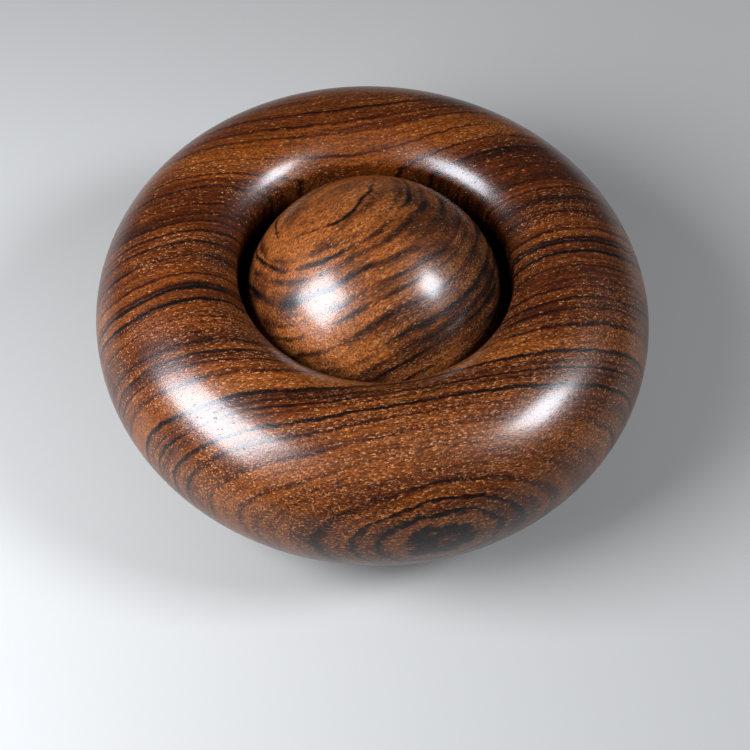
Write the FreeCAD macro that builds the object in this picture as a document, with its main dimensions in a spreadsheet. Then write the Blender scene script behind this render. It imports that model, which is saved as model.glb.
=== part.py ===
import FreeCAD, Part
import math
import os
import Sketcher

# A turned desk holder for a dip pen: a loose wooden ball stands in the well of a round wooden ring.
# The pen's end goes down between them, and the weight of the ball nips it against the ring's lip.
# Millimetres. +Z is up and is the turning axis. The origin is the centre of the underside.

doc = FreeCAD.newDocument("pen_holder")

# ---------------------------------------------------------------- driving dimensions
DIMENSIONS = [
    ("ring_radius", 50.0),         # outside of the ring
    ("section_radius", 17.15),     # round outer half of the ring's section
    ("lip_radius", 9.9),           # tighter rounding from the crest into the well
    ("belly_height", 6.4),         # underside of the ring above the desk
    ("arris_radius", 0.8),         # rounding where the lip meets the well's wall
    ("ball_radius", 23.7),
    ("ball_gap", 0.7),             # all round, between the ball and the well's wall
    ("ball_clearance", 0.2),       # under the ball, above the pad
    ("seat_gap", 0.1),             # running gap between the ball and its dished seat
    ("seat_radius", 31.0),         # outside of the seat ring, which is also the foot
    ("seat_hole_radius", 8.0),
    ("seat_chamfer", 0.8),
    ("rebate_depth", 1.4),         # how far the seat ring is let into the ring's underside
    ("glue_gap", 0.05),
    ("pad_radius", 30.2),
    ("pad_thickness", 1.0),
]

sheet = doc.addObject("Spreadsheet::Sheet", "Dimensions")
for row, (alias, value) in enumerate(DIMENSIONS, start=1):
    sheet.set(f"A{row}", alias)
    sheet.set(f"B{row}", str(value))
    sheet.setAlias(f"B{row}", alias)
doc.recompute()

size = dict(DIMENSIONS)


def cell(alias):
    return f"Dimensions.{alias}"


# Heights and radii that several pieces share, as expressions of the driving dimensions.
BORE_RADIUS = f"{cell('ball_radius')} + {cell('ball_gap')}"
CREST_RADIUS = f"{cell('ring_radius')} - {cell('section_radius')}"
SECTION_HEIGHT = f"{cell('belly_height')} + {cell('section_radius')}"
REBATE_TOP = f"{cell('belly_height')} + {cell('rebate_depth')}"
REBATE_RADIUS = f"{cell('seat_radius')} + {cell('glue_gap')}"
BALL_HEIGHT = f"{cell('pad_thickness')} + {cell('ball_clearance')} + {cell('ball_radius')}"

# The same values as numbers, to start each sketch close to its solved shape.
bore_radius = size["ball_radius"] + size["ball_gap"]
crest_radius = size["ring_radius"] - size["section_radius"]
section_height = size["belly_height"] + size["section_radius"]
crest_height = section_height + size["section_radius"]
rebate_top = size["belly_height"] + size["rebate_depth"]
rebate_radius = size["seat_radius"] + size["glue_gap"]
ball_height = size["pad_thickness"] + size["ball_clearance"] + size["ball_radius"]

# Sketcher's numbers for the points of a piece of geometry.
START, END, CENTRE = 1, 2, 3
ORIGIN = (-1, 1)
DEPTH_AXIS = FreeCAD.Vector(0, 0, 1)


# ---------------------------------------------------------------- helpers
def new_body(label):
    body = doc.addObject("PartDesign::Body", label)
    body.Label = label
    return body


def new_sketch(body, name, plane_role):
    sketch = body.newObject("Sketcher::SketchObject", name)
    plane = next(f for f in body.Origin.OriginFeatures if f.Role == plane_role)
    sketch.AttachmentSupport = [(plane, "")]
    sketch.MapMode = "FlatFace"
    return sketch


def line(start, end):
    return Part.LineSegment(FreeCAD.Vector(*start, 0), FreeCAD.Vector(*end, 0))


def arc(centre, radius, from_angle, to_angle):
    circle = Part.Circle(FreeCAD.Vector(*centre, 0), DEPTH_AXIS, radius)
    return Part.ArcOfCircle(circle, from_angle, to_angle)


def join(sketch, *pairs):
    """Make the named end points coincide, two by two."""
    for first, second in pairs:
        sketch.addConstraint(Sketcher.Constraint("Coincident", *first, *second))


def set_radius(sketch, curve, name, value, expression):
    index = sketch.addConstraint(Sketcher.Constraint("Radius", curve, value))
    sketch.renameConstraint(index, name)
    sketch.setExpression(f"Constraints.{name}", expression)


def set_place(sketch, point, name, across=None, up=None):
    """Fix a point's distance from the axis and its height: each is (number, expression)."""
    for kind, suffix, measure in (("DistanceX", "_across", across), ("DistanceY", "_up", up)):
        if measure is None:
            continue
        value, expression = measure
        index = sketch.addConstraint(Sketcher.Constraint(kind, *ORIGIN, *point, value))
        sketch.renameConstraint(index, name + suffix)
        sketch.setExpression(f"Constraints.{name}{suffix}", expression)


def turn(body, sketch, name):
    """Revolve a half section all the way round the vertical axis."""
    feature = body.newObject("PartDesign::Revolution", name)
    feature.Profile = sketch
    feature.ReferenceAxis = (sketch, ["V_Axis"])
    feature.Angle = 360.0
    doc.recompute()
    return feature


def round_edges(feature, radius, height=None):
    """The names of a feature's full circles of one radius, at one height or the topmost."""
    found = []
    for number, edge in enumerate(feature.Shape.Edges, start=1):
        if isinstance(edge.Curve, Part.Circle) and abs(edge.Curve.Radius - radius) < 1e-4:
            found.append((edge.Curve.Center.z, f"Edge{number}"))
    wanted = max(z for z, _ in found) if height is None else height
    return [name for z, name in found if abs(z - wanted) < 1e-4]


# ---------------------------------------------------------------- ring
def make_ring():
    body = new_body("ring")
    sketch = new_sketch(body, "ring_section", "XZ_Plane")
    lip_centre = (crest_radius, crest_height - size["lip_radius"])
    lip_reach = (crest_radius - bore_radius) / size["lip_radius"]
    lip_end_angle = math.pi - math.acos(lip_reach)
    lip_end = (bore_radius, lip_centre[1] + size["lip_radius"] * math.sin(lip_end_angle))
    belly = (crest_radius, size["belly_height"])
    rebate_mouth = (rebate_radius, size["belly_height"])
    rebate_corner = (rebate_radius, rebate_top)
    wall_foot = (bore_radius, rebate_top)

    outer = sketch.addGeometry(
        arc((crest_radius, section_height), size["section_radius"], -math.pi / 2, math.pi / 2))
    lip = sketch.addGeometry(arc(lip_centre, size["lip_radius"], math.pi / 2, lip_end_angle))
    wall = sketch.addGeometry(line(lip_end, wall_foot))
    ceiling = sketch.addGeometry(line(wall_foot, rebate_corner))
    side = sketch.addGeometry(line(rebate_corner, rebate_mouth))
    under = sketch.addGeometry(line(rebate_mouth, belly))

    join(sketch,
         ((outer, END), (lip, START)),
         ((lip, END), (wall, START)),
         ((wall, END), (ceiling, START)),
         ((ceiling, END), (side, START)),
         ((side, END), (under, START)),
         ((under, END), (outer, START)))
    for upright in (wall, side):
        sketch.addConstraint(Sketcher.Constraint("Vertical", upright))
    for level in (ceiling, under):
        sketch.addConstraint(Sketcher.Constraint("Horizontal", level))
    for point in ((outer, END), (outer, START), (lip, CENTRE)):
        sketch.addConstraint(Sketcher.Constraint("Vertical", outer, CENTRE, *point))

    set_radius(sketch, outer, "outer_round", size["section_radius"], cell("section_radius"))
    set_radius(sketch, lip, "lip_round", size["lip_radius"], cell("lip_radius"))
    set_place(sketch, (outer, CENTRE), "section_middle",
              across=(crest_radius, CREST_RADIUS), up=(section_height, SECTION_HEIGHT))
    set_place(sketch, (wall, END), "wall", across=(bore_radius, BORE_RADIUS))
    set_place(sketch, (side, START), "rebate",
              across=(rebate_radius, REBATE_RADIUS), up=(rebate_top, REBATE_TOP))

    turned = turn(body, sketch, "ring_turned")
    arris = body.newObject("PartDesign::Fillet", "lip_arris")
    arris.Base = (turned, round_edges(turned, bore_radius))
    arris.setExpression("Radius", cell("arris_radius"))
    doc.recompute()
    return body


# ---------------------------------------------------------------- ball
def make_ball():
    body = new_body("ball")
    sketch = new_sketch(body, "ball_section", "XZ_Plane")
    radius = size["ball_radius"]
    edge = sketch.addGeometry(arc((0, 0), radius, -math.pi / 2, math.pi / 2))
    core = sketch.addGeometry(line((0, radius), (0, -radius)))
    join(sketch, ((edge, END), (core, START)), ((core, END), (edge, START)), ((edge, CENTRE), ORIGIN))
    sketch.addConstraint(Sketcher.Constraint("PointOnObject", core, START, -2))
    sketch.addConstraint(Sketcher.Constraint("PointOnObject", core, END, -2))
    set_radius(sketch, edge, "ball_round", radius, cell("ball_radius"))
    turn(body, sketch, "ball_turned")
    body.setExpression("Placement.Base.z", BALL_HEIGHT)
    doc.recompute()
    return body


# ---------------------------------------------------------------- seat ring
def make_seat_ring():
    body = new_body("seat_ring")
    sketch = new_sketch(body, "seat_section", "XZ_Plane")
    dish = size["ball_radius"] + size["seat_gap"]
    hole = size["seat_hole_radius"]
    hole_angle = -math.acos(hole / dish)
    brim_angle = math.asin((rebate_top - ball_height) / dish)
    hole_top = (hole, ball_height + dish * math.sin(hole_angle))
    brim = (dish * math.cos(brim_angle), rebate_top)
    hole_foot = (hole, size["pad_thickness"])
    rim_foot = (size["seat_radius"], size["pad_thickness"])
    rim_top = (size["seat_radius"], rebate_top)

    seat = sketch.addGeometry(arc((0, ball_height), dish, hole_angle, brim_angle))
    floor = sketch.addGeometry(line(brim, rim_top))
    rim = sketch.addGeometry(line(rim_top, rim_foot))
    under = sketch.addGeometry(line(rim_foot, hole_foot))
    wall = sketch.addGeometry(line(hole_foot, hole_top))

    join(sketch,
         ((seat, END), (floor, START)),
         ((floor, END), (rim, START)),
         ((rim, END), (under, START)),
         ((under, END), (wall, START)),
         ((wall, END), (seat, START)))
    for upright in (rim, wall):
        sketch.addConstraint(Sketcher.Constraint("Vertical", upright))
    for level in (floor, under):
        sketch.addConstraint(Sketcher.Constraint("Horizontal", level))
    sketch.addConstraint(Sketcher.Constraint("PointOnObject", seat, CENTRE, -2))

    set_radius(sketch, seat, "dish", dish, f"{cell('ball_radius')} + {cell('seat_gap')}")
    set_place(sketch, (seat, CENTRE), "dish_centre", up=(ball_height, BALL_HEIGHT))
    set_place(sketch, (rim, START), "rim",
              across=(size["seat_radius"], cell("seat_radius")), up=(rebate_top, REBATE_TOP))
    set_place(sketch, (wall, START), "hole",
              across=(hole, cell("seat_hole_radius")),
              up=(size["pad_thickness"], cell("pad_thickness")))

    turned = turn(body, sketch, "seat_turned")
    bevel = body.newObject("PartDesign::Chamfer", "foot_bevel")
    bevel.Base = (turned, round_edges(turned, size["seat_radius"], size["pad_thickness"]))
    bevel.setExpression("Size", cell("seat_chamfer"))
    doc.recompute()
    return body


# ---------------------------------------------------------------- base pad
def make_base_pad():
    body = new_body("base_pad")
    sketch = new_sketch(body, "pad_outline", "XY_Plane")
    rim = sketch.addGeometry(
        Part.Circle(FreeCAD.Vector(0, 0, 0), DEPTH_AXIS, size["pad_radius"]))
    join(sketch, ((rim, CENTRE), ORIGIN))
    set_radius(sketch, rim, "pad_round", size["pad_radius"], cell("pad_radius"))
    disc = body.newObject("PartDesign::Pad", "pad_disc")
    disc.Profile = sketch
    disc.setExpression("Length", cell("pad_thickness"))
    doc.recompute()
    return body


# ---------------------------------------------------------------- build, test and export
pieces = [make_ring(), make_ball(), make_seat_ring(), make_base_pad()]
doc.recompute()

for item in doc.Objects:
    broken = [state for state in item.State if state in ("Invalid", "Error")]
    if broken:
        raise RuntimeError(f"{item.Name} did not build: {broken}")

os.makedirs("parts", exist_ok=True)
for piece in pieces:
    if piece.Shape.isNull() or not piece.Shape.isValid() or len(piece.Shape.Solids) != 1:
        raise RuntimeError(f"{piece.Label} is not one valid solid")
    piece.Shape.exportStep(f"parts/{piece.Label}.step")
    print(f"{piece.Label}: {piece.Shape.Volume / 1000:.1f} cm3, {piece.Shape.BoundBox}")
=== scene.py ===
import math
import random

import bmesh
import bpy
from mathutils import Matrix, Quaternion, Vector


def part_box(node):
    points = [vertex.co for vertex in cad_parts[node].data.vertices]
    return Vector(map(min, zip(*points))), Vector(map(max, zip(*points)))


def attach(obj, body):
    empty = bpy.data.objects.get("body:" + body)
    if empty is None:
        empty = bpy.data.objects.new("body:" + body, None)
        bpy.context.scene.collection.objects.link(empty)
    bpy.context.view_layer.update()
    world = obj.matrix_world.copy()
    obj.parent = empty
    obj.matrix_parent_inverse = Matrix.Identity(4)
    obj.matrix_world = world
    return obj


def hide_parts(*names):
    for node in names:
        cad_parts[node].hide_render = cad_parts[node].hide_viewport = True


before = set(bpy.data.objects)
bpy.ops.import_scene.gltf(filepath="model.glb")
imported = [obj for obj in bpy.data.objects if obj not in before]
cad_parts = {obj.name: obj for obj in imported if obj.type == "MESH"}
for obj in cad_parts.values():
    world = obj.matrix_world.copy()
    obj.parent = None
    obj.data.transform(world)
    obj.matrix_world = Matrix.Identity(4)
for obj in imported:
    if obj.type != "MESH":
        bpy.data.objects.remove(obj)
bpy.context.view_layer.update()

MM = 0.001

# ---------------------------------------------------------------- sizes, read from the frame


def box(node):
    low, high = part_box(node)
    return Vector(low), Vector(high)


def smallest_radius(node):
    """The radius of the hole through a turned node."""
    return min(math.hypot(v.co.x, v.co.y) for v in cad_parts[node].data.vertices)


ring_low, ring_high = box("ring")
ball_low, ball_high = box("ball")
seat_low, seat_high = box("seat_ring")
pad_low, pad_high = box("base_pad")

RING_RADIUS = ring_high.x
SECTION_RADIUS = (ring_high.z - ring_low.z) / 2
CREST_RADIUS = RING_RADIUS - SECTION_RADIUS
SECTION_HEIGHT = ring_low.z + SECTION_RADIUS
BORE_RADIUS = smallest_radius("ring")
BALL_RADIUS = (ball_high.z - ball_low.z) / 2
BALL_HEIGHT = (ball_high.z + ball_low.z) / 2
SEAT_RADIUS = seat_high.x
SEAT_HOLE_RADIUS = smallest_radius("seat_ring")
REBATE_TOP = seat_high.z
PAD_RADIUS = pad_high.x
PAD_THICKNESS = pad_high.z

# The frame gives boxes and holes but no edges, so these repeat the CAD's own small sizes.
LIP_RADIUS = 9.9 * MM
SEAT_GAP = 0.1 * MM
GLUE_GAP = 0.05 * MM
FOOT_BEVEL = 0.8 * MM

# Softened edges and surface relief that only show close up.
ARRIS_TURN = 3.0
ARRIS_DROP = 0.5 * MM
PAD_EDGE = 0.25 * MM
WOOD_RELIEF = 0.04 * MM
LEATHER_RELIEF = 0.10 * MM

TURN_STEPS = 192


# ---------------------------------------------------------------- mesh helpers
def arc(centre, radius, start, end, steps):
    """Points (distance from the axis, height) along an arc. The angles are in degrees."""
    points = []
    for step in range(steps + 1):
        angle = math.radians(start + (end - start) * step / steps)
        points.append((centre[0] + radius * math.cos(angle), centre[1] + radius * math.sin(angle)))
    return points


def straight(start, end, steps):
    """Points along a straight run, without its two ends."""
    points = []
    for step in range(1, steps):
        share = step / steps
        points.append((start[0] + (end[0] - start[0]) * share, start[1] + (end[1] - start[1]) * share))
    return points


def eased(start, corner, end, steps=5):
    """Points after start, up to end, along a curve that eases round a corner."""
    first, bend, last = Vector(start), Vector(corner), Vector(end)
    points = []
    for step in range(1, steps + 1):
        share = step / steps
        points.append(tuple(first.lerp(bend, share).lerp(bend.lerp(last, share), share)))
    return points


def finished(mesh_data, name, material, body):
    """Turn a bmesh into a smooth-shaded object that rides on a body."""
    mesh = bpy.data.meshes.new(name)
    bmesh.ops.recalc_face_normals(mesh_data, faces=mesh_data.faces)
    mesh_data.to_mesh(mesh)
    mesh_data.free()
    for polygon in mesh.polygons:
        polygon.use_smooth = True
    mesh.materials.append(material)
    piece = bpy.data.objects.new(name, mesh)
    bpy.context.scene.collection.objects.link(piece)
    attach(piece, body)
    return piece


def lathe(outline, steps=TURN_STEPS):
    """Turn an outline of (distance from the axis, height) all the way round, in quads."""
    turned = bmesh.new()
    loops = []
    for radius, height in outline:
        if radius < 1e-7:
            loops.append([turned.verts.new((0, 0, height))])
            continue
        loop = []
        for step in range(steps):
            angle = 2 * math.pi * step / steps
            loop.append(turned.verts.new((radius * math.cos(angle), radius * math.sin(angle), height)))
        loops.append(loop)
    closed = len(loops[0]) > 1 and len(loops[-1]) > 1
    pairs = list(zip(loops, loops[1:]))
    if closed:
        pairs.append((loops[-1], loops[0]))
    for first, second in pairs:
        for step in range(steps):
            following = (step + 1) % steps
            if len(first) == 1:
                turned.faces.new((first[0], second[step], second[following]))
            elif len(second) == 1:
                turned.faces.new((first[step], second[0], first[following]))
            else:
                turned.faces.new((first[step], second[step], second[following], first[following]))
    return turned


def quad_sphere(centre, radius, cuts=63):
    """A sphere of even quads with no poles, from a divided cube."""
    globe = bmesh.new()
    bmesh.ops.create_cube(globe, size=2.0)
    bmesh.ops.subdivide_edges(globe, edges=globe.edges[:], cuts=cuts, use_grid_fill=True)
    for vertex in globe.verts:
        spread = Vector(math.tan(c * math.pi / 4) for c in vertex.co)
        vertex.co = spread.normalized() * radius + centre
    return globe


# ---------------------------------------------------------------- material helpers
class Graph:
    """Short calls that build one material's node tree."""

    def __init__(self, name):
        self.material = bpy.data.materials.new(name)
        self.material.use_nodes = True
        self.nodes = self.material.node_tree.nodes
        self.links = self.material.node_tree.links
        self.shader = self.nodes["Principled BSDF"]
        self.place = self.nodes.new("ShaderNodeTexCoord").outputs["Object"]

    def feed(self, socket, value):
        if isinstance(value, bpy.types.NodeSocket):
            self.links.new(value, socket)
        else:
            socket.default_value = value

    def math(self, operation, *values, clamp=False):
        node = self.nodes.new("ShaderNodeMath")
        node.operation = operation
        node.use_clamp = clamp
        for socket, value in zip(node.inputs, values):
            self.feed(socket, value)
        return node.outputs["Value"]

    def vector(self, operation, *values):
        node = self.nodes.new("ShaderNodeVectorMath")
        node.operation = operation
        for socket, value in zip(node.inputs, values):
            self.feed(socket, value)
        return node.outputs["Value" if operation == "DOT_PRODUCT" else "Vector"]

    def split(self, vector):
        node = self.nodes.new("ShaderNodeSeparateXYZ")
        self.feed(node.inputs[0], vector)
        return node.outputs["X"], node.outputs["Y"], node.outputs["Z"]

    def join(self, x, y, z):
        node = self.nodes.new("ShaderNodeCombineXYZ")
        for socket, value in zip(node.inputs, (x, y, z)):
            self.feed(socket, value)
        return node.outputs["Vector"]

    def noise(self, vector, scale=1.0, detail=3.0, roughness=0.5):
        node = self.nodes.new("ShaderNodeTexNoise")
        self.feed(node.inputs["Vector"], vector)
        node.inputs["Scale"].default_value = scale
        node.inputs["Detail"].default_value = detail
        node.inputs["Roughness"].default_value = roughness
        return node.outputs["Fac"]

    def cells(self, vector, scale=1.0, randomness=1.0):
        node = self.nodes.new("ShaderNodeTexVoronoi")
        self.feed(node.inputs["Vector"], vector)
        node.inputs["Scale"].default_value = scale
        node.inputs["Randomness"].default_value = randomness
        return node.outputs["Distance"], node.outputs["Color"]

    def fade(self, value, low, high, to_low=0.0, to_high=1.0):
        """A smooth step from to_low to to_high as value goes from low to high."""
        node = self.nodes.new("ShaderNodeMapRange")
        node.interpolation_type = "SMOOTHSTEP"
        for name, number in (("Value", value), ("From Min", low), ("From Max", high),
                             ("To Min", to_low), ("To Max", to_high)):
            self.feed(node.inputs[name], number)
        return node.outputs["Result"]

    def ramp(self, value, stops):
        node = self.nodes.new("ShaderNodeValToRGB")
        self.feed(node.inputs["Fac"], value)
        elements = node.color_ramp.elements
        while len(elements) > 1:
            elements.remove(elements[-1])
        elements[0].position, elements[0].color = stops[0][0], (*stops[0][1], 1)
        for position, colour in stops[1:]:
            elements.new(position).color = (*colour, 1)
        return node.outputs["Color"]

    def mix(self, factor, first, second, blend="MIX"):
        node = self.nodes.new("ShaderNodeMix")
        node.data_type = "RGBA"
        node.blend_type = blend
        self.feed(node.inputs["Factor"], factor)
        for name, value in (("A", first), ("B", second)):
            socket = next(s for s in node.inputs if s.name == name and s.type == "RGBA")
            self.feed(socket, (*value, 1) if isinstance(value, tuple) else value)
        return next(s for s in node.outputs if s.type == "RGBA")

    def bump(self, height, distance, strength=1.0):
        node = self.nodes.new("ShaderNodeBump")
        self.feed(node.inputs["Height"], height)
        node.inputs["Distance"].default_value = distance
        node.inputs["Strength"].default_value = strength
        self.links.new(node.outputs["Normal"], self.shader.inputs["Normal"])

    def swing(self, value, amount):
        """A noise value from 0 to 1, moved to swing about zero and scaled to an amount."""
        return self.math("MULTIPLY_ADD", value, amount, -0.5 * amount)

    def total(self, values):
        result = values[0]
        for value in values[1:]:
            result = self.math("ADD", result, value)
        return result


# ---------------------------------------------------------------- rosewood
def heading(turn, rise):
    """The direction at an angle round from +X and an angle up from level, in degrees."""
    turn, rise = math.radians(turn), math.radians(rise)
    return Vector((math.cos(rise) * math.cos(turn), math.cos(rise) * math.sin(turn), math.sin(rise)))


def grain_axes(face_turn, face_rise, fibre_turn):
    """Unit directions: the way the layers face, along the fibres, and beside the fibres."""
    facing = heading(face_turn, face_rise)
    beside = facing.cross(heading(fibre_turn, 0)).normalized()
    return facing, beside.cross(facing), beside


def growth_lines(first, last, step, fade, strength, seed):
    """Seeded lines from one depth to another. Step, fade and strength are ranges, (least, most)."""
    draw = random.Random(seed)
    lines = []
    depth = first
    while depth < last:
        lines.append((depth, draw.uniform(*fade), draw.uniform(*fade), draw.uniform(*strength)))
        depth += draw.uniform(*step)
    return lines


def layer_line(graph, depth, middle, lead, trail, strength):
    """One dark growth line: it darkens over lead millimetres and fades over trail."""
    rise = graph.fade(depth, middle - lead, middle)
    fall = graph.fade(depth, middle, middle + trail, strength, 0.0)
    return graph.math("MULTIPLY", rise, fall)


def scattered(graph, place, scale, share, core, edge):
    """Small spots in a share of the cells, each of its own strength, fading out from core to edge."""
    distance, pick = graph.cells(place, scale=scale)
    chance, strength, _ = graph.split(pick)
    chosen = graph.math("GREATER_THAN", share, chance)
    spot = graph.math("MULTIPLY", graph.fade(distance, core, edge, 1.0, 0.0), chosen)
    return graph.math("MULTIPLY", spot, graph.fade(strength, 0.0, 1.0, 0.3, 1.0))


class Timber:
    """Where a point lies in a piece of wood, in millimetres: along and across the fibres, and how deep."""

    def __init__(self, graph, figure):
        self.graph = graph
        self.axes = grain_axes(*figure["grain"])
        _, fibre, beside = self.axes
        self.place = graph.vector("MULTIPLY", graph.place, (1 / MM,) * 3)
        self.along = graph.vector("DOT_PRODUCT", self.place, fibre)
        self.across = graph.vector("DOT_PRODUCT", self.place, beside)
        self.even_depth = self.growth_depth(figure)
        short_fibres = self.fibres(0.45, self.even_depth)
        self.jitter = graph.noise(short_fibres, scale=1.1, detail=4.0, roughness=0.65)
        self.depth = self.uneven_depth(figure)

    def growth_depth(self, figure):
        """How deep a point lies in the growth layers, which are cylinders round a slightly bowed pith."""
        graph = self.graph
        facing = self.axes[0]
        pith = Vector(figure["centre"]) / MM + facing * figure["pith_distance"]
        from_pith = graph.vector("SUBTRACT", self.place, pith)
        squares = []
        for axis in self.axes:
            reach = graph.vector("DOT_PRODUCT", from_pith, axis)
            squares.append(graph.math("MULTIPLY", reach, reach))
        ahead, along, beside = squares
        distance = graph.math("SQRT", graph.math("ADD", ahead, beside))
        bow = graph.math("MULTIPLY", along, 0.5 / figure["bow_radius"])
        return graph.math("SUBTRACT", graph.math("ADD", bow, figure["pith_distance"]), distance)

    def fibres(self, squeeze, height, stretch=1.0):
        """A place measured along the fibres, across them and through the layers."""
        graph = self.graph
        return graph.join(graph.math("MULTIPLY", self.along, squeeze), self.across,
                          graph.math("MULTIPLY", height, stretch))

    def uneven_depth(self, figure):
        """The layers wander slowly, ripple, and step to and fro fibre by fibre."""
        graph = self.graph
        wander = graph.noise(self.place, scale=figure["wander_scale"], detail=1.0)
        ripple = graph.noise(self.place, scale=figure["ripple_scale"], detail=2.0)
        return graph.total([
            self.even_depth,
            graph.swing(wander, figure["wander"]),
            graph.swing(ripple, figure["ripple"]),
            graph.swing(self.jitter, figure["jitter"]),
        ])


def layer_darkness(wood, figure):
    """How dark the layers are: lines, zones and weaker layering, and painted shade away from the left
    softbox.
    """
    graph, depth = wood.graph, wood.depth
    lines = graph.total([layer_line(graph, depth, *line) for line in figure["lines"]])
    fading = graph.noise(wood.fibres(0.5, depth, 3.0), scale=0.16, detail=4.0)
    lines = graph.math("MULTIPLY", lines, graph.fade(fading, 0.38, 0.60, *figure["line_fading"]))
    zones = graph.total([layer_line(graph, depth, *zone) for zone in figure["zones"]])
    layers = graph.join(graph.math("MULTIPLY", wood.along, 0.02 * figure["layer_break"]),
                        graph.math("MULTIPLY", wood.across, 0.03 * figure["layer_break"]), depth)
    fine_layers = graph.noise(layers, scale=1.2, detail=6.0, roughness=0.7)
    broad_layers = graph.noise(layers, scale=0.16, detail=2.0)
    smoke_place = wood.fibres(0.25, depth, 1.4)
    smoke = graph.noise(smoke_place, scale=figure["smoke_scale"], detail=4.0, roughness=0.6)
    # Painted shade: the wood darkens towards the side away from the left softbox.
    shade_side = graph.vector("DOT_PRODUCT", wood.place, figure["darker_towards"])
    return graph.total([
        lines,
        zones,
        graph.fade(shade_side, *figure["darkening"]),
        graph.swing(fine_layers, figure["layering"]),
        graph.swing(broad_layers, figure["zoning"]),
        graph.swing(smoke, figure["smoke"]),
        figure["darkness"],
    ])


def pores_and_glints(wood, figure, streaks, grit, darkness):
    """Open pores are dark dashes. Golden specks, gum with painted glints, come in crowds along the layers.
    """
    graph = wood.graph
    scatter = graph.join(grit, streaks, wood.jitter)
    place = graph.vector("ADD", wood.fibres(0.55, wood.even_depth), scatter)
    pore = scattered(graph, place, scale=1.9, share=figure["pores"], core=0.14, edge=0.34)
    crowd = graph.noise(wood.fibres(0.25, wood.depth), scale=0.13, detail=3.0)
    crowd = graph.math("ADD", crowd, graph.fade(wood.depth, *figure["crowding"]))
    share = graph.fade(crowd, 0.40, 0.66, 0.15 * figure["glints"], 1.6 * figure["glints"])
    glint = scattered(graph, place, scale=2.9, share=share, core=0.12, edge=0.50)
    return pore, graph.math("MULTIPLY", glint, graph.fade(darkness, 0.30, 0.80, 1.0, 0.12))


def rosewood(name, figure):
    graph = Graph(name)
    wood = Timber(graph, figure)
    darkness = layer_darkness(wood, figure)
    streaks = graph.noise(wood.fibres(0.16, wood.even_depth), scale=3.2, detail=3.0, roughness=0.65)
    grit = graph.noise(wood.fibres(0.55, wood.even_depth), scale=3.6, detail=2.0, roughness=0.6)
    shade = graph.math("MULTIPLY", graph.fade(streaks, 0.33, 0.67, 0.72, 1.32),
                       graph.fade(grit, 0.36, 0.64, 0.62, 1.42))
    pore, glint = pores_and_glints(wood, figure, streaks, grit, darkness)

    colour = graph.ramp(darkness, figure["colours"])
    colour = graph.mix(1.0, colour, graph.join(shade, shade, shade), "MULTIPLY")
    pore_cover = graph.math("MULTIPLY", pore, 0.7)
    # The golden specks are partly the gum in filled pores and partly painted glints of light.
    glint_cover = graph.math("MULTIPLY", glint, figure["glint_strength"])
    colour = graph.mix(pore_cover, colour, figure["pore_colour"])
    colour = graph.mix(glint_cover, colour, figure["glint_colour"])
    graph.feed(graph.shader.inputs["Base Color"], colour)

    # A rubbed oil finish: satin wood under a thin glossier skin, duller in the pores and on the golden
    # specks.
    polish = graph.noise(wood.place, scale=0.07, detail=4.0)
    graph.feed(graph.shader.inputs["Roughness"], graph.total([
        graph.fade(polish, 0.3, 0.7, 0.31, 0.38),
        graph.math("MULTIPLY", pore, 0.20),
        graph.math("MULTIPLY", glint, 0.18),
    ]))
    graph.shader.inputs["Specular IOR Level"].default_value = 0.38
    graph.shader.inputs["Coat Weight"].default_value = 0.45
    graph.shader.inputs["Coat Roughness"].default_value = 0.20
    relief = graph.total([
        graph.math("MULTIPLY", pore, -1.0),
        graph.math("MULTIPLY", streaks, 0.6),
        graph.math("MULTIPLY", grit, 1.2),
    ])
    graph.bump(relief, WOOD_RELIEF, 0.8)
    return graph.material


# Each line or zone: its depth in the layers, then how far it darkens in and fades out, all in
# millimetres, then how dark it is, with lighter zones below zero. Depth 0 is at the middle of the
# piece, and depths grow towards the ring's front and the ball's top. Most lines fall at seeded
# uneven steps. The few that mark each piece are listed after them.
RING_LINES = growth_lines(-42.0, 44.0, (1.8, 4.4), (0.3, 0.6), (0.15, 0.5), seed=3) + [
    (4.5, 0.3, 0.7, 0.9), (7.0, 0.4, 0.4, 0.9),
    (26.0, 0.3, 0.7, 0.8), (29.0, 0.4, 0.3, 0.7), (32.0, 0.5, 0.4, 0.8),
    (46.0, 0.5, 0.4, 0.3), (48.0, 0.2, 0.4, 0.85), (49.2, 0.2, 0.3, 0.95), (50.2, 0.2, 0.35, 1.3),
]
RING_ZONES = growth_lines(-40.0, 30.0, (7.0, 14.0), (3.0, 8.0), (-0.3, 0.2), seed=5) + [
    (-38.0, 8.0, 9.0, -0.2), (41.0, 8.0, 5.0, -0.2),
]
BALL_LINES = growth_lines(-22.0, 20.0, (1.8, 4.0), (0.4, 1.2), (0.3, 0.65), seed=4) + [
    (21.5, 0.2, 0.2, 0.9), (18.5, 0.4, 0.4, 0.85),
]
BALL_ZONES = growth_lines(-10.0, 22.0, (4.0, 9.0), (1.0, 4.0), (-0.25, 0.15), seed=6) + [
    (21.0, 6.0, 3.0, -0.25),
]
RING_COLOURS = [
    (0.00, (0.122, 0.0335, 0.0040)),
    (0.30, (0.056, 0.0118, 0.0012)),
    (0.60, (0.0160, 0.0028, 0.0006)),
    (1.00, (0.0030, 0.0009, 0.0006)),
]
BALL_COLOURS = [
    (0.00, (0.175, 0.056, 0.0120)),
    (0.35, (0.064, 0.0178, 0.0042)),
    (0.70, (0.017, 0.0058, 0.0030)),
    (1.00, (0.0035, 0.0018, 0.0015)),
]
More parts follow.
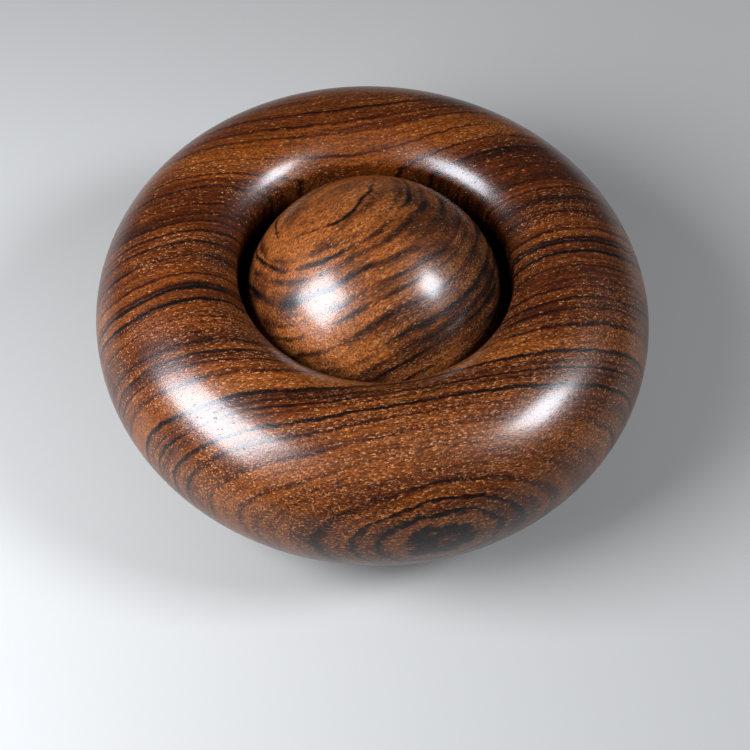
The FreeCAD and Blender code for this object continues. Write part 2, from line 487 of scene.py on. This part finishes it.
# "grain" is the turn and the rise of the way the layers face, then the turn of the fibres, in degrees.
# Distances and depths are in millimetres, and scales are per millimetre. "darkening" is a step of
# painted shade along "darker_towards", the side away from the left softbox, and "crowding" is a step
# through the depths in how many golden specks, with their painted glints, there are: for each, where
# it starts, where it ends, and what it adds before and after. "line_fading" is what the lines'
# darkness is multiplied by, least and most.
RING_FIGURE = {
    "centre": (0, 0, SECTION_HEIGHT), "grain": (-76.0, 4.0, 14.0),
    "pith_distance": 150.0, "bow_radius": 500.0,
    "wander_scale": 0.03, "wander": 5.0, "ripple_scale": 0.20, "ripple": 0.9, "jitter": 0.9,
    "lines": RING_LINES, "line_fading": (0.70, 1.20), "zones": RING_ZONES, "colours": RING_COLOURS,
    "layering": 1.5, "layer_break": 1.0, "zoning": 0.5,
    "smoke": 0.5, "smoke_scale": 0.2, "darkness": 0.26,
    "pores": 0.30, "pore_colour": (0.006, 0.002, 0.001),
    # The ring's step of painted shade runs right and back, away from the left softbox.
    "darker_towards": (0.90, 0.44, 0.0), "darkening": (-12.0, 45.0, 0.0, 0.05),
    "crowding": (-15.0, 30.0, -0.06, 0.08),
    # The golden speck colour is part gum and part painted glint.
    "glints": 0.62, "glint_strength": 0.80, "glint_colour": (0.46, 0.22, 0.085),
}
BALL_FIGURE = {
    "centre": (0, 0, BALL_HEIGHT), "grain": (140.0, 56.0, 35.0),
    "pith_distance": 400.0, "bow_radius": 400.0,
    "wander_scale": 0.055, "wander": 5.0, "ripple_scale": 0.3, "ripple": 0.6, "jitter": 0.5,
    "lines": BALL_LINES, "line_fading": (0.25, 1.0), "zones": BALL_ZONES, "colours": BALL_COLOURS,
    "layering": 0.8, "layer_break": 3.0, "zoning": 0.4,
    "smoke": 1.8, "smoke_scale": 0.18, "darkness": 0.20,
    "pores": 0.35, "pore_colour": (0.008, 0.004, 0.002),
    # The ball's step of painted shade runs right and down, away from the left softbox.
    "darker_towards": (0.95, 0.20, -0.25), "darkening": (-6.0, 12.0, -0.02, 0.27),
    "crowding": (8.0, 20.0, 0.06, -0.10),
    # The golden speck colour is part gum and part painted glint.
    "glints": 0.60, "glint_strength": 0.65, "glint_colour": (0.42, 0.24, 0.115),
}
# The foot is a darker piece of the same wood, with its grain turned.
FOOT_FIGURE = dict(RING_FIGURE, grain=(163.0, 6.0, 73.0), darkness=0.5)


def leather(name):
    """Plain dark leather: pebbled grain, fine creases with painted shade in them, and a worn, lighter
    bloom.
    """
    graph = Graph(name)
    millimetres = graph.vector("MULTIPLY", graph.place, (1 / MM,) * 3)
    pebble, _ = graph.cells(millimetres, scale=1.1)
    fine, _ = graph.cells(millimetres, scale=2.9)
    bloom = graph.noise(millimetres, scale=0.09, detail=4.0)
    tone = graph.fade(bloom, 0.3, 0.7)
    colour = graph.mix(tone, (0.036, 0.020, 0.014), (0.075, 0.043, 0.030))
    # Painted shade: the colour darkens in the creases between the pebbles.
    crease_shade = graph.fade(pebble, 0.35, 0.75, 1.0, 0.55)
    colour = graph.mix(1.0, colour, graph.join(crease_shade, crease_shade, crease_shade), "MULTIPLY")
    graph.feed(graph.shader.inputs["Base Color"], colour)
    graph.feed(graph.shader.inputs["Roughness"], graph.fade(bloom, 0.3, 0.7, 0.52, 0.68))
    height = graph.total([graph.math("MULTIPLY", pebble, -1.0), graph.math("MULTIPLY", fine, -0.35)])
    graph.bump(height, LEATHER_RELIEF, 0.7)
    return graph.material


# ---------------------------------------------------------------- pieces
def ring_outline():
    lip_centre = (CREST_RADIUS, ring_high.z - LIP_RADIUS)
    section_centre = (CREST_RADIUS, SECTION_HEIGHT)
    lip_end = 180 - math.degrees(math.acos((CREST_RADIUS - BORE_RADIUS) / LIP_RADIUS))
    lip = arc(lip_centre, LIP_RADIUS, 90, lip_end - ARRIS_TURN, 20)
    corner = arc(lip_centre, LIP_RADIUS, lip_end, lip_end, 1)[0]
    wall_top = (BORE_RADIUS, corner[1] - ARRIS_DROP)
    arris = eased(lip[-1], corner, wall_top)
    wall_foot = (BORE_RADIUS, REBATE_TOP)
    rebate_corner = (SEAT_RADIUS + GLUE_GAP, REBATE_TOP)
    rebate_mouth = (SEAT_RADIUS + GLUE_GAP, ring_low.z)
    outer = arc(section_centre, SECTION_RADIUS, -90, 90, 64)
    return (outer + lip[1:] + arris + straight(wall_top, wall_foot, 24) + [wall_foot]
            + straight(wall_foot, rebate_corner, 6) + [rebate_corner, rebate_mouth])


def make_ring(wood):
    piece = finished(lathe(ring_outline()), "turned_ring", wood, "stand")
    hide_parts("ring")


def make_ball(wood):
    globe = quad_sphere(Vector((0, 0, BALL_HEIGHT)), BALL_RADIUS)
    piece = finished(globe, "turned_ball", wood, "ball")
    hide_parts("ball")


def make_seat_ring(wood):
    dish = BALL_RADIUS + SEAT_GAP
    dish_centre = (0, BALL_HEIGHT)
    hole_angle = -math.degrees(math.acos(SEAT_HOLE_RADIUS / dish))
    brim_angle = math.degrees(math.asin((REBATE_TOP - BALL_HEIGHT) / dish))
    seat = arc(dish_centre, dish, hole_angle, brim_angle, 20)
    rim_top = (SEAT_RADIUS, REBATE_TOP)
    belly_line = (SEAT_RADIUS, ring_low.z)
    bevel_top = (SEAT_RADIUS, PAD_THICKNESS + FOOT_BEVEL)
    bevel_foot = (SEAT_RADIUS - FOOT_BEVEL, PAD_THICKNESS)
    hole_foot = (SEAT_HOLE_RADIUS, PAD_THICKNESS)
    outline = (seat + straight(seat[-1], rim_top, 10) + [rim_top, belly_line]
               + straight(belly_line, bevel_top, 8) + [bevel_top, bevel_foot]
               + straight(bevel_foot, hole_foot, 12) + [hole_foot]
               + straight(hole_foot, seat[0], 3))
    piece = finished(lathe(outline), "turned_foot", wood, "stand")
    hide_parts("seat_ring")


def make_base_pad(skin):
    flat_radius = PAD_RADIUS - PAD_EDGE
    outline = ([(0, 0)] + straight((0, 0), (flat_radius, 0), 16)
               + arc((flat_radius, PAD_EDGE), PAD_EDGE, -90, 0, 4)
               + arc((flat_radius, PAD_THICKNESS - PAD_EDGE), PAD_EDGE, 0, 90, 4)
               + straight((flat_radius, PAD_THICKNESS), (0, PAD_THICKNESS), 16)
               + [(0, PAD_THICKNESS)])
    piece = finished(lathe(outline), "leather_pad", skin, "stand")
    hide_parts("base_pad")


make_ring(rosewood("ring_rosewood", RING_FIGURE))
make_ball(rosewood("ball_rosewood", BALL_FIGURE))
make_seat_ring(rosewood("foot_rosewood", FOOT_FIGURE))
make_base_pad(leather("pad_leather"))


# ---------------------------------------------------------------- studio
LIGHT_COLOUR = (0.86, 0.915, 1.0)
FLOOR_COLOUR = (0.330, 0.317, 0.298)
FLOOR_HALF_WIDTH = 3.0
AMBIENT = 0.08
CONTRAST_GAMMA = 0.85


def make_floor():
    floor_mesh = bmesh.new()
    bmesh.ops.create_grid(floor_mesh, x_segments=1, y_segments=1, size=FLOOR_HALF_WIDTH)
    mesh = bpy.data.meshes.new("floor")
    floor_mesh.to_mesh(mesh)
    floor_mesh.free()
    graph = Graph("floor_paper")
    graph.shader.inputs["Base Color"].default_value = (*FLOOR_COLOUR, 1)
    graph.shader.inputs["Roughness"].default_value = 0.7
    mesh.materials.append(graph.material)
    floor = bpy.data.objects.new("floor", mesh)
    bpy.context.scene.collection.objects.link(floor)


def softbox(name, place, aim, size, power):
    data = bpy.data.lights.new(name, "AREA")
    data.shape = "SQUARE"
    data.size = size * RING_RADIUS
    data.energy = power
    data.color = LIGHT_COLOUR
    light = bpy.data.objects.new(name, data)
    bpy.context.scene.collection.objects.link(light)
    light.location = Vector(place) * RING_RADIUS
    light.rotation_mode = "QUATERNION"
    light.rotation_quaternion = (Vector(aim) - Vector(place)).to_track_quat("-Z", "Y")


def make_light():
    """Two softboxes high to the left and right, and a faint even light. Lengths are in ring radii."""
    softbox("softbox_left", place=(-3.6, -2.0, 3.9), aim=(4.5, 3.5, 0.0), size=3.3, power=2.2)
    softbox("softbox_right", place=(9.2, -1.3, 9.3), aim=(0.0, 0.0, 0.5), size=3.7, power=4.4)
    world = bpy.data.worlds.new("studio")
    world.use_nodes = True
    world.node_tree.nodes["Background"].inputs["Color"].default_value = (1.0, 1.0, 1.0, 1)
    world.node_tree.nodes["Background"].inputs["Strength"].default_value = AMBIENT
    bpy.context.scene.world = world


def make_camera():
    """The camera stands in front, looks down at the object, and leans a little to one side."""
    elevation = math.radians(53.2)
    lean = math.radians(3.6)
    reach = 6.0 * RING_RADIUS
    aim = Vector((0.019, -0.233, 0.4)) * RING_RADIUS
    data = bpy.data.cameras.new("camera")
    data.lens = 78.2
    camera = bpy.data.objects.new("camera", data)
    bpy.context.scene.collection.objects.link(camera)
    camera.location = (0, -reach * math.cos(elevation), aim.z + reach * math.sin(elevation))
    camera.rotation_mode = "QUATERNION"
    level = (aim - camera.location).to_track_quat("-Z", "Y")
    camera.rotation_quaternion = level @ Quaternion((0, 0, 1), lean)
    bpy.context.scene.camera = camera


make_floor()
make_light()
make_camera()
bpy.context.scene.view_settings.view_transform = "Standard"
bpy.context.scene.view_settings.gamma = CONTRAST_GAMMA
